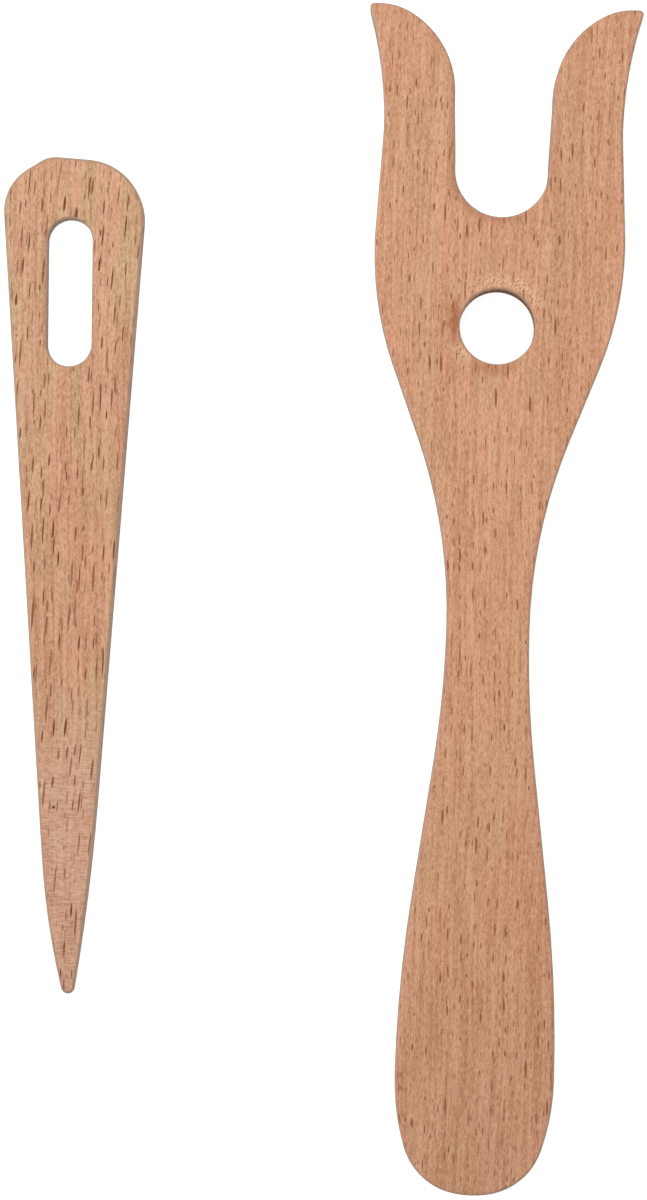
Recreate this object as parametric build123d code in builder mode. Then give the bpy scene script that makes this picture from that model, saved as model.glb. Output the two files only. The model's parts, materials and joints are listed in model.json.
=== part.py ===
from build123d import *
import os
from math import atan, atan2, degrees, hypot

# Wooden lucet set: the two-horned braiding fork and its flat threading needle.
# Both pieces lie flat on a table, side by side, as they do between uses.
# Millimetres. The origin is the centre of the cord hole, half way through the board.
# +Y runs up the fork to its horns, +X to its right and +Z up from the table.

# Board that the fork is cut from
fork_thickness = 8.0
fork_edge_round = 0.5

# Cord hole
cord_hole_diameter = 12.7
cord_hole_rim_chamfer = 0.25

# Handle: its end, its belly above the end and its waist below the cord hole
handle_reach = 146.0
handle_end_radius = 17.0
handle_end_sweep = 9.0
handle_corner_turn = 63.2
belly_half_width = 13.375
belly_rise = 19.6
waist_half_width = 6.95
waist_drop = 50.65

# Head: half widths above the cord hole
head_half_width = 21.08
head_rise = 13.5
neck_half_width = 20.13
neck_rise = 33.5

# Horns
horn_tip_half_span = 23.27
horn_tip_blunting = 0.2
horn_tip_flat = 1.94
horn_reach = 53.95
horn_curl_height = 14.82
horn_curl_turn = 28.8

# Slot between the horns
slot_floor_rise = 18.45
slot_floor_radius = 7.9
slot_flare = 0.4

# How each run of the side is shared out: how much of its bending belongs to the lower arc,
# and how much of its length is straight
flank_lower_bend = 0.57
flank_straight = 0.3
cheek_lower_bend = 0.614
cheek_straight = 0.197
neck_lower_bend = 0.55
neck_straight = 0.8
slot_lower_bend = 0.5
slot_straight = 0.4

# Strip that the needle is cut from
needle_thickness = 5.0
needle_edge_chamfer = 0.4

# Needle outline, measured from the middle of its eye
needle_butt_rise = 22.95
needle_butt_half_width = 12.55
needle_reach = 118.57
needle_unsharpened_half_width = 2.65

# Point of the needle, sharpened by hand from further up on its right than on its left
needle_tip_offset = 0.36
point_left_length = 23.1
point_left_lean = 13.6
point_right_length = 32.0
point_right_lean = 8.8

# Butt of the needle, finished by hand: a flat facet on the left, a full round on the right
butt_facet_width = 8.1
butt_facet_fall = 4.9
butt_facet_round = 8.2
butt_corner_round = 4.9
butt_top_fall = 1.25
butt_shoulder_round = 10.1

# Eye of the needle, cut a little to the left of the middle
eye_length = 25.1
eye_width = 7.65
eye_offset = 0.65
eye_rim_chamfer = 0.25

# Both faces of the point, sanded thinner
thinning_drop = 76.0
point_thickness = 2.2

# Where the needle lies, from the cord hole to the middle of the needle at its eye
needle_lay_left = 71.75
needle_lay_rise = 3.89
needle_lay_turn = 1.17

os.makedirs("parts", exist_ok=True)


def two_bends(start, heading, end, end_heading, first_turn):
    """Join two points by two arcs to the left, tangent to each other and at both ends."""
    start_way = Vector(1, 0).rotate(Axis.Z, heading)
    join_way = start_way.rotate(Axis.Z, first_turn)
    second_change = Vector(1, 0).rotate(Axis.Z, end_heading) - join_way
    chord = (Vector(*end) - Vector(*start)).rotate(Axis.Z, 90)
    radius = chord.cross(second_change).Z / (join_way - start_way).cross(second_change).Z
    first_arc = JernArc(start, start_way, radius, first_turn)
    return TangentArc(first_arc @ 1, end, tangent=join_way)


def upright_to_upright(low, high, lower_bend, straight):
    """Join two points where a side stands upright by an arc, a straight run and an arc back."""
    width = high[0] - low[0]
    distance = hypot(width, high[1] - low[1])
    run = straight * distance
    both_radii = (distance**2 - run**2) / (2 * abs(width))
    turn = 2 * degrees(atan2(width, high[1] - low[1] + run))
    lower_arc = JernArc(low, (0, 1), both_radii * lower_bend, -turn)
    middle = PolarLine(lower_arc @ 1, run, direction=lower_arc % 1)
    return TangentArc(middle @ 1, high, tangent=middle % 1)


# Fork
table_height = -fork_thickness / 2
belly = (belly_half_width, belly_rise - handle_reach)
waist = (waist_half_width, -waist_drop)
head = (head_half_width, head_rise)
neck = (neck_half_width, neck_rise)
horn_tip_round = fork_edge_round + horn_tip_blunting
curl_top = (horn_tip_half_span - horn_tip_flat, horn_reach)
slot_wall_foot = (slot_floor_radius, slot_floor_rise + slot_floor_radius)
slot_mouth = (slot_floor_radius + slot_flare, horn_reach - horn_curl_height)

with BuildPart() as lucet_fork:
    with BuildSketch(Plane.XY.offset(table_height)):
        # The right half of the outline, from the handle's end round the horn to the slot's floor
        with BuildLine() as outline:
            handle_end = CenterArc(
                (0, handle_end_radius - handle_reach), handle_end_radius, -90, handle_end_sweep
            )
            two_bends(handle_end @ 1, handle_end_sweep, belly, 90, handle_corner_turn)
            upright_to_upright(belly, waist, flank_lower_bend, flank_straight)
            upright_to_upright(waist, head, cheek_lower_bend, cheek_straight)
            upright_to_upright(head, neck, neck_lower_bend, neck_straight)
            horn_back = TangentArc(neck, (horn_tip_half_span, horn_reach), tangent=(0, 1))
            Line(horn_back @ 1, curl_top)
            two_bends(curl_top, 180, slot_mouth, 270, horn_curl_turn)
            upright_to_upright(slot_wall_foot, slot_mouth, slot_lower_bend, slot_straight)
            CenterArc((0, slot_wall_foot[1]), slot_floor_radius, 0, -90)
            fillet(outline.vertices().sort_by(Axis.X)[-1], horn_tip_round)
            mirror(about=Plane.YZ)
        make_face()
    extrude(amount=fork_thickness)
    fillet(edges().filter_by(Axis.Z, reverse=True), fork_edge_round)
    Hole(cord_hole_diameter / 2)
    chamfer(edges(Select.LAST).filter_by(GeomType.CIRCLE), cord_hole_rim_chamfer)

lucet_fork.part.label = "lucet_fork"
export_step(lucet_fork.part, "parts/lucet_fork.step")

# Needle, laid down beside the fork on the same table
needle_plane = Plane(
    origin=(-needle_lay_left, needle_lay_rise, table_height + needle_thickness / 2),
    x_dir=Vector(1, 0, 0).rotate(Axis.Z, needle_lay_turn),
)
needle_side = Plane(
    origin=needle_plane.origin, x_dir=needle_plane.y_dir, z_dir=needle_plane.x_dir
)
across = Axis(needle_plane.origin, needle_plane.x_dir)
side_slope = (needle_butt_half_width - needle_unsharpened_half_width) / (
    needle_butt_rise + needle_reach
)
taper = degrees(atan(side_slope))
tip = (needle_tip_offset, -needle_reach)
sharpened_left = (
    -needle_unsharpened_half_width - side_slope * point_left_length,
    point_left_length - needle_reach,
)
sharpened_right = (
    needle_unsharpened_half_width + side_slope * point_right_length,
    point_right_length - needle_reach,
)
facet_rise = needle_butt_rise - butt_facet_fall
shoulder_rise = needle_butt_rise - butt_top_fall
facet_foot = needle_butt_half_width - side_slope * butt_facet_fall
shoulder = needle_butt_half_width - side_slope * butt_top_fall

with BuildPart() as threading_needle:
    with BuildSketch(needle_plane.offset(-needle_thickness / 2)):
        with BuildLine():
            two_bends(sharpened_left, taper - 90, tip, 0, point_left_lean - taper)
            two_bends(tip, 0, sharpened_right, 90 - taper, 90 - point_right_lean)
            FilletPolyline(
                sharpened_left,
                (-facet_foot, facet_rise),
                (butt_facet_width - needle_butt_half_width, needle_butt_rise),
                (shoulder, shoulder_rise),
                sharpened_right,
                radius=[butt_facet_round, butt_corner_round, butt_shoulder_round],
            )
        make_face()
    extrude(amount=needle_thickness)
    # Seen from its edge, the strip is straight and then thins towards the point
    with BuildSketch(needle_side):
        with BuildLine():
            face_line = Line(
                (needle_butt_rise, needle_thickness / 2), (-thinning_drop, needle_thickness / 2)
            )
            thinned = TangentArc(
                face_line @ 1, (-needle_reach, point_thickness / 2), tangent=face_line % 1
            )
            Line(thinned @ 1, (-needle_reach, 0))
            Line(face_line @ 0, (needle_butt_rise, 0))
            mirror(about=Plane.XZ)
        make_face()
    extrude(amount=needle_butt_half_width, both=True, mode=Mode.INTERSECT)
    rim = edges().filter_by(Axis.Z, reverse=True).filter_by(across, reverse=True)
    chamfer(rim, needle_edge_chamfer)
    with BuildSketch(needle_plane.offset(-needle_thickness / 2)):
        with Locations((-eye_offset, 0)):
            SlotOverall(eye_length, eye_width, rotation=90)
    extrude(amount=needle_thickness, mode=Mode.SUBTRACT)
    chamfer(edges(Select.LAST).filter_by(Axis.Z, reverse=True), eye_rim_chamfer)

threading_needle.part.label = "threading_needle"
export_step(threading_needle.part, "parts/threading_needle.step")
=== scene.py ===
import json
import math

import bpy
from mathutils import Matrix, Vector


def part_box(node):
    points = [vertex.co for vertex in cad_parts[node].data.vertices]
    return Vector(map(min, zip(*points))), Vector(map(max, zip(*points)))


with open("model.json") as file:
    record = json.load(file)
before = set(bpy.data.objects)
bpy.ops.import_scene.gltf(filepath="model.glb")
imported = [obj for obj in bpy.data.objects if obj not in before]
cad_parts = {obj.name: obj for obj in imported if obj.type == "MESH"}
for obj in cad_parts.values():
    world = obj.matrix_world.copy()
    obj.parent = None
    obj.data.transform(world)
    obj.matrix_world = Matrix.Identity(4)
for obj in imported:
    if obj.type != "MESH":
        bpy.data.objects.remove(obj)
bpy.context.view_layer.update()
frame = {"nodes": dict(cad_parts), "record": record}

# Metres in a millimetre, and the height of the table that both pieces lie on
MM = 0.001
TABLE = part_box("lucet_fork")[0].z

# The cord hole and the round floor of the slot above it, in millimetres
HOLE_RADIUS = next(
    mount["dims"]["r_mm"] for mount in frame["record"]["mounts"] if mount["name"] == "cord_hole"
)
SLOT_MIDDLE = 26.35
SLOT_RADIUS = 7.9

# Where the needle's eye lies and how far the needle is turned, in millimetres and degrees
NEEDLE_EYE = (-71.75, 3.89)
NEEDLE_TURN = 1.17

# How sanded wood takes the light
SHINE = 0.14
ROUGHNESS = 0.5
BORE_ROUGHENING = 0.4
BUMP_STRENGTH = 0.45
BUMP_DEPTH = 0.12 * MM

# The paper under the pieces: how far below them it lies, its glow and its grey where it is
# looked at, and its grey for the light that it throws back on them
PAPER_GAP = 0.02 * MM
PAPER_GLOW = 0.9
PAPER_GREY = 0.4
PAPER_BOUNCE = 0.25

# The light from all round: on the pieces, and where it is looked at
FILL = 0.36
BACKDROP = 1.0

# The photograph is taken from above, from a little down and left of the fork's hole
EYE = Vector((-18, -56, 750)) * MM
AIM = Vector((-27.85, -46.83, 0)) * MM
CAMERA_ROLL = math.radians(1.783)
LENS = 133.2
SENSOR_HEIGHT = 36


def rgb(red, green, blue):
    """A colour as seen on screen, 0 to 255, in the linear values that shaders take."""
    def linear(value):
        value /= 255
        return value / 12.92 if value <= 0.04045 else ((value + 0.055) / 1.055) ** 2.4
    return (linear(red), linear(green), linear(blue), 1)


class Tree:
    """The shader nodes of a material or world. Values are numbers, tuples or sockets."""

    def __init__(self, owner):
        owner.use_nodes = True
        self.tree = owner.node_tree
        self.tree.nodes.clear()

    def add(self, kind, inputs=None, **settings):
        """A node with these settings. Its inputs are set to values or linked to sockets."""
        node = self.tree.nodes.new(kind)
        for name, value in settings.items():
            setattr(node, name, value)
        for key, value in (inputs or {}).items():
            if isinstance(value, bpy.types.NodeSocket):
                self.tree.links.new(value, node.inputs[key])
            else:
                node.inputs[key].default_value = value
        return node

    def math(self, operation, *values):
        return self.add("ShaderNodeMath", dict(enumerate(values)), operation=operation).outputs[0]

    def vector(self, operation, *values):
        node = self.add("ShaderNodeVectorMath", dict(enumerate(values)), operation=operation)
        return node.outputs[0]

    def parts(self, point):
        """The x, y and z of a point."""
        return self.add("ShaderNodeSeparateXYZ", {0: point}).outputs

    def turned(self, point, degrees):
        """The point turned about the upright axis through the origin."""
        node = self.add("ShaderNodeVectorRotate", {"Vector": point, "Angle": math.radians(degrees)},
                        rotation_type="Z_AXIS")
        return node.outputs[0]

    def product(self, first, *others):
        for other in others:
            first = self.math("MULTIPLY", first, other)
        return first

    def ramp(self, value, low, high, out_low=0.0, out_high=1.0, smooth=True):
        """Carries low..high over to out_low..out_high and stops at both ends."""
        node = self.add("ShaderNodeMapRange", {0: value, 1: low, 2: high, 3: out_low, 4: out_high})
        node.interpolation_type = "SMOOTHSTEP" if smooth else "LINEAR"
        return node.outputs[0]

    def noise(self, point, size, seed, detail, roughness=0.5):
        """Noise from 0 to 1 in patches of about size=(x, y, z) millimetres, one for each seed."""
        scaled = self.vector("DIVIDE", point, size)
        moved = self.vector("ADD", scaled, (seed * 7.3, seed * 3.1, seed * 5.7))
        node = self.add("ShaderNodeTexNoise", {
            "Vector": moved, "Scale": 1.0, "Detail": detail, "Roughness": roughness,
        })
        return node.outputs[0]

    def mix(self, factor, first, second, blend="MIX"):
        """The first colour where the factor is 0, and blended with the second where it is 1."""
        node = self.add("ShaderNodeMix", {0: factor, 6: first, 7: second},
                        data_type="RGBA", blend_type=blend)
        return node.outputs[2]

    def stain(self, colour, target, *amounts):
        """The colour, mixed towards a target colour by the product of the amounts."""
        return self.mix(self.product(*amounts), colour, target)


def rays(t, point, cell, length, width, lean, share, faintest, seed):
    """The wood's rays: short dark rods along the grain, at most one in each cell.

    length and width are a middling rod's half length and half width, in millimetres. lean is
    its slant to the right, in degrees. share is the part of the cells that hold a rod, and
    faintest is the strength of the weakest.
    """
    moved = t.vector("ADD", point, (seed * 31.7, seed * 17.9, seed * 11.3))
    scaled = t.vector("DIVIDE", moved, cell)
    cells = t.add("ShaderNodeTexVoronoi", {"Vector": scaled, "Scale": 1.0, "Randomness": 0.95})
    away = t.vector("MULTIPLY", t.vector("SUBTRACT", scaled, cells.outputs["Position"]), cell)
    across, along, _ = t.parts(away)
    across = t.math("MULTIPLY_ADD", along, -math.tan(math.radians(lean)), across)

    # Each rod's own size, which narrows to nothing at its two ends
    chance, long, wide = t.parts(cells.outputs["Color"])
    half_length = t.math("MULTIPLY_ADD", long, length, length * 0.5)
    half_width = t.math("MULTIPLY_ADD", wide, width * 0.6, width * 0.7)
    reach = t.math("ABSOLUTE", t.math("DIVIDE", along, half_length))
    narrowing = t.math("SUBTRACT", 1.0, t.math("POWER", reach, 2.5))
    inside = t.math("SUBTRACT", t.product(half_width, narrowing), t.math("ABSOLUTE", across))
    strength = t.ramp(chance, 0.0, share, 1.0, faintest, smooth=False)
    return t.product(t.ramp(inside, -0.04, 0.05), t.math("LESS_THAN", chance, share), strength)


def near(t, point, centre, size):
    """1 in the middle of a rounded spot, falling to 0 at its half sizes, in millimetres."""
    squashed = t.vector("DIVIDE", t.vector("SUBTRACT", point, centre), size)
    away = t.add("ShaderNodeVectorMath", {0: squashed}, operation="LENGTH").outputs["Value"]
    return t.ramp(away, 1.0, 0.15)


def wood(slot, light, dark, ray, painted_rim_light, place, turn, patchy, ray_sets, marks):
    """Bare sanded beech.

    place and turn lay the grain's own axes on the piece. patchy says how far its bands and
    tints differ. marks draws what the workshop left on the piece, and painted shade in
    the fork's hole and slot.
    """
    material = bpy.data.materials.new(slot)
    t = Tree(material)
    coordinates = t.add("ShaderNodeTexCoord")
    laid = t.add("ShaderNodeMapping", {
        "Vector": coordinates.outputs["Object"],
        "Location": (-place[0] * MM, -place[1] * MM, 0),
    })
    point = t.vector("MULTIPLY", t.turned(laid.outputs[0], -turn), (1 / MM, 1 / MM, 1 / MM))

    # The grain wanders a little along the piece
    wander = t.math("MULTIPLY_ADD", t.noise(point, (40, 55, 40), seed=1, detail=1), 3.0, -1.5)
    drift = t.add("ShaderNodeCombineXYZ", {0: wander}).outputs[0]
    grain = t.vector("ADD", point, drift)

    # Growth bands, long fine fibres, and the beads, mottle and pores that break them up
    bands = t.noise(grain, (5.5, 160, 20), seed=2, detail=2)
    fibres = t.noise(grain, (0.45, 14, 3), seed=3, detail=1, roughness=0.6)
    beads = t.noise(grain, (0.27, 0.9, 1.0), seed=4, detail=1, roughness=0.6)
    mottle = t.noise(grain, (0.7, 2.6, 3), seed=5, detail=1, roughness=0.6)
    pores = t.noise(grain, (0.19, 0.3, 0.4), seed=7, detail=1, roughness=0.6)
    tone = 0.5
    for pattern, weight in (
        (bands, 0.4 * patchy), (fibres, 1.3), (beads, 1.45), (mottle, 0.35), (pores, 1.05)
    ):
        tone = t.math("ADD", tone, t.math("MULTIPLY_ADD", pattern, weight, -0.5 * weight))
    colour = t.mix(t.ramp(tone, 0.0, 1.0, smooth=False), dark, light)

    # Here the wood leans to yellow, and there to red
    warmth = t.ramp(t.noise(grain, (2.5, 22, 12), seed=6, detail=2), 0.32, 0.68)
    yellow = (1 - 0.016 * patchy, 1 + 0.020 * patchy, 1 - 0.024 * patchy, 1)
    red = (1 + 0.024 * patchy, 1 - 0.028 * patchy, 1 - 0.028 * patchy, 1)
    colour = t.mix(1.0, colour, t.mix(warmth, yellow, red), "MULTIPLY")
    colour, scratched, drilled_and_shaded = marks(t, point, colour)

    rods = 0.0
    for ray_set in ray_sets:
        rods = t.math("MAXIMUM", rods, rays(t, grain, **ray_set))
    colour = t.stain(colour, ray, rods)

    # Walls and eased edges are painted paler and greyer, a painted sheen that also lightens their
    # shade, and they are darker where they cut across the grain
    _, facing_along, facing_up = t.parts(coordinates.outputs["Normal"])
    rim = t.ramp(t.math("ABSOLUTE", facing_up), 0.999, 0.75)
    colour = t.stain(colour, painted_rim_light, rim, 0.65)
    colour = t.stain(colour, ray, rim, t.math("ABSOLUTE", facing_along), 0.06)
    # Painted shade: inside the hole the wall goes back towards a darker plain wood colour, more so
    # deeper down
    colour = t.stain(colour, rgb(198, 152, 122), drilled_and_shaded, rim)

    relief = t.product(rods, -0.35)
    for pattern, height in ((fibres, 0.30), (beads, 0.22), (scratched, 0.4)):
        relief = t.math("MULTIPLY_ADD", pattern, height, relief)
    rough = t.math("MULTIPLY_ADD", fibres, 0.14, ROUGHNESS)
    rough = t.math("MULTIPLY_ADD", drilled_and_shaded, BORE_ROUGHENING, rough)

    bump = t.add("ShaderNodeBump", {
        "Strength": BUMP_STRENGTH, "Distance": BUMP_DEPTH, "Height": relief,
    })
    shader = t.add("ShaderNodeBsdfPrincipled", {
        "Base Color": colour, "Roughness": rough, "Normal": bump.outputs[0],
        "Specular IOR Level": SHINE,
    })
    t.add("ShaderNodeOutputMaterial", {0: shader.outputs[0]})
    return material


def fork_marks(t, point, colour):
    """Sanding scratches round the cord hole, darker streaks beside it, and painted shade at the
    slot.

    Returns the colour, how far it is scratched and how far it is the hole's wall, which carries
    painted shade that deepens downwards.
    """
    x, y, z = t.parts(point)
    radius = t.math("SQRT", t.math("ADD", t.product(x, x), t.product(y, y)))
    from_hole = t.math("SUBTRACT", radius, HOLE_RADIUS)

    # The scratches slant, and lie above the hole and low on its left
    ring = t.product(t.ramp(from_hole, 0.35, 0.75), t.ramp(from_hole, 3.25, 1.65))
    angle = t.math("ARCTAN2", y, x)
    top = t.product(t.ramp(angle, 0.3, 0.7), t.ramp(angle, 2.5, 1.9))
    low_left = t.product(t.ramp(angle, -2.8, -2.6), t.ramp(angle, -2.15, -2.4))
    where = t.product(ring, t.math("MAXIMUM", top, low_left))
    scratches = t.noise(t.turned(point, 42), (0.2, 0.75, 3), seed=8, detail=1)
    light = t.product(t.ramp(scratches, 0.44, 0.60), where)
    dark = t.product(t.ramp(scratches, 0.42, 0.30), where)
    colour = t.stain(colour, rgb(244, 204, 164), light, 0.75)
    colour = t.stain(colour, rgb(140, 90, 56), dark, 0.6)

    # Darker streaked wood on the hole's left, and a darker streaked band along its lower edge
    streaks = t.ramp(t.noise(point, (0.35, 2.5, 3), seed=11, detail=1), 0.3, 0.6, 0.3, 1.0)
    beside = t.product(near(t, point, (-7.3, 0.6, 4.0), (1.8, 5.0, 9.0)), 0.9)
    below = t.product(near(t, point, (-0.5, -7.0, 4.0), (6.0, 1.9, 9.0)), 0.55)
    colour = t.stain(colour, rgb(166, 98, 60), t.math("MAXIMUM", beside, below), streaks)

    # Painted shade along the sawn slot's floor and its left wall
    below_middle = t.math("MINIMUM", t.math("SUBTRACT", y, SLOT_MIDDLE), 0.0)
    from_axis = t.math(
        "SQRT", t.math("MULTIPLY_ADD", below_middle, below_middle, t.product(x, x))
    )
    from_slot = t.math("SUBTRACT", from_axis, SLOT_RADIUS)
    slot_painted_shade = t.product(t.ramp(from_slot, 1.9, 0.5), t.ramp(x, 5.0, 0.0))
    colour = t.stain(colour, rgb(166, 106, 70), slot_painted_shade, 0.4)

    # How far it is the hole's wall, more so deeper down: there the wall gets painted shade and is
    # rougher
    bore_wall_shade = t.product(t.ramp(from_hole, 0.35, 0.15), t.ramp(z, 3.4, -1.5, 0.1, 0.97))
    return colour, light, bore_wall_shade


def needle_marks(t, point, colour):
    """The needle's redder middle, the cross-grain sanding of its thinned point and a dark dot.

    Returns what fork_marks does.
    """
    _, y, _ = t.parts(point)
    middle = near(t, point, (3.5, -45.0, 0.0), (15.0, 52.0, 20.0))
    colour = t.mix(middle, colour, (1.0, 0.945, 0.935, 1), "MULTIPLY")

    thin = t.ramp(y, -62.0, -86.0)
    across = t.noise(point, (1.3, 0.24, 3), seed=9, detail=1)
    long_lines = t.noise(point, (5.0, 0.2, 3), seed=10, detail=1)
    light = t.product(t.ramp(across, 0.50, 0.66), thin)
    dark = t.product(t.ramp(across, 0.46, 0.32), thin)
    light = t.math("MAXIMUM", light, t.product(t.ramp(long_lines, 0.66, 0.74), thin))
    colour = t.stain(colour, rgb(236, 181, 160), thin, 0.3)
    colour = t.stain(colour, rgb(236, 200, 174), light, 0.4)
    colour = t.stain(colour, rgb(146, 100, 74), dark, 0.35)

    dot = near(t, point, (-2.3, -87.1, 1.0), (0.42, 0.42, 1.5))
    return t.stain(colour, rgb(70, 36, 24), dot), light, 0.0


fork_wood = wood(
    "fork_wood",
    light=rgb(232, 179, 146),
    dark=rgb(186, 129, 94),
    ray=rgb(146, 90, 52),
    # Painted light: the paler, greyer sheen painted on walls and eased edges
    painted_rim_light=rgb(204, 174, 154),
    place=(0, 0),
    turn=0.0,
    patchy=1.05,
    ray_sets=(
        dict(cell=(1.9, 6.2, 9), length=1.2, width=0.16, lean=-1, share=0.5, faintest=0.25, seed=1),
        dict(cell=(1.1, 3.5, 6), length=0.65, width=0.12, lean=1, share=0.6, faintest=0.12, seed=2),
    ),
    marks=fork_marks,
)
needle_wood = wood(
    "needle_wood",
    light=rgb(226, 182, 149),
    dark=rgb(177, 127, 92),
    ray=rgb(116, 58, 20),
    # Painted light: the paler, greyer sheen painted on walls and eased edges
    painted_rim_light=rgb(202, 171, 148),
    place=NEEDLE_EYE,
    turn=NEEDLE_TURN,
    patchy=1.8,
    ray_sets=(
        dict(cell=(2.0, 7.4, 9), length=2.0, width=0.15, lean=4, share=0.8, faintest=0.5, seed=3),
        dict(cell=(1.4, 4.5, 6), length=1.0, width=0.12, lean=4, share=0.55, faintest=0.2, seed=4),
    ),
    marks=needle_marks,
)
for name, material in (("lucet_fork", fork_wood), ("threading_needle", needle_wood)):
    for material_slot in frame["nodes"][name].material_slots:
        material_slot.material = material


def seen_directly(t):
    """1 for camera, glossy and see-through rays, 0 for the light that falls on the pieces."""
    path = t.add("ShaderNodeLightPath").outputs
    direct = t.math("MAXIMUM", path["Is Camera Ray"], path["Is Glossy Ray"])
    return t.math("MAXIMUM", direct, path["Is Transmission Ray"])


# Pale floor: white where it is looked at, with a faint contact shadow under the pieces
paper = bpy.data.materials.new("paper")
t = Tree(paper)
glow = t.add("ShaderNodeEmission", {"Color": (1, 1, 1, 1), "Strength": PAPER_GLOW})
matt = t.add("ShaderNodeBsdfDiffuse", {"Color": (PAPER_GREY, PAPER_GREY, PAPER_GREY, 1)})
shown = t.add("ShaderNodeAddShader", {0: glow.outputs[0], 1: matt.outputs[0]})
dull = t.add("ShaderNodeBsdfDiffuse", {"Color": (PAPER_BOUNCE, PAPER_BOUNCE, PAPER_BOUNCE, 1)})
both = t.add("ShaderNodeMixShader", {0: seen_directly(t), 1: dull.outputs[0], 2: shown.outputs[0]})
t.add("ShaderNodeOutputMaterial", {0: both.outputs[0]})
bpy.ops.mesh.primitive_plane_add(size=6, location=(0, 0, TABLE - PAPER_GAP))
floor = bpy.context.object
floor.name = "floor"
floor.data.materials.append(paper)

world = bpy.context.scene.world or bpy.data.worlds.new("world")
bpy.context.scene.world = world
t = Tree(world)
fill = t.add("ShaderNodeBackground", {"Color": (1, 1, 1, 1), "Strength": FILL})
white = t.add("ShaderNodeBackground", {"Color": (1, 1, 1, 1), "Strength": BACKDROP})
both = t.add("ShaderNodeMixShader", {0: seen_directly(t), 1: fill.outputs[0], 2: white.outputs[0]})
t.add("ShaderNodeOutputWorld", {0: both.outputs[0]})


def soft_lamp(name, place, target, size, power):
    """A round lamp that faces its target. Metres and watts."""
    lamp = bpy.data.lights.new(name, "AREA")
    lamp.shape = "DISK"
    lamp.size = size
    lamp.energy = power
    lamp_object = bpy.data.objects.new(name, lamp)
    lamp_object.location = place
    facing = Vector(target) - Vector(place)
    lamp_object.rotation_euler = facing.to_track_quat("-Z", "Y").to_euler()
    bpy.context.scene.collection.objects.link(lamp_object)


# The weak side lamp brightens the rims that face left
soft_lamp("key", place=(-0.07, 0.08, 0.42), target=(-0.03, 0.0, 0), size=0.16, power=0.92)
soft_lamp("side", place=(-0.80, 0.05, 0.50), target=(-0.03, 0.0, 0), size=0.30, power=1.5)

camera = bpy.data.cameras.new("camera")
camera.lens = LENS
camera.sensor_fit = "VERTICAL"
camera.sensor_height = SENSOR_HEIGHT
camera_object = bpy.data.objects.new("camera", camera)
camera_object.location = EYE
upright = Vector((-math.sin(CAMERA_ROLL), math.cos(CAMERA_ROLL), 0))
back = (EYE - AIM).normalized()
side = upright.cross(back).normalized()
camera_object.rotation_euler = Matrix((side, back.cross(side), back)).transposed().to_euler()
bpy.context.scene.collection.objects.link(camera_object)
bpy.context.scene.camera = camera_object

bpy.context.scene.view_settings.view_transform = "Standard"
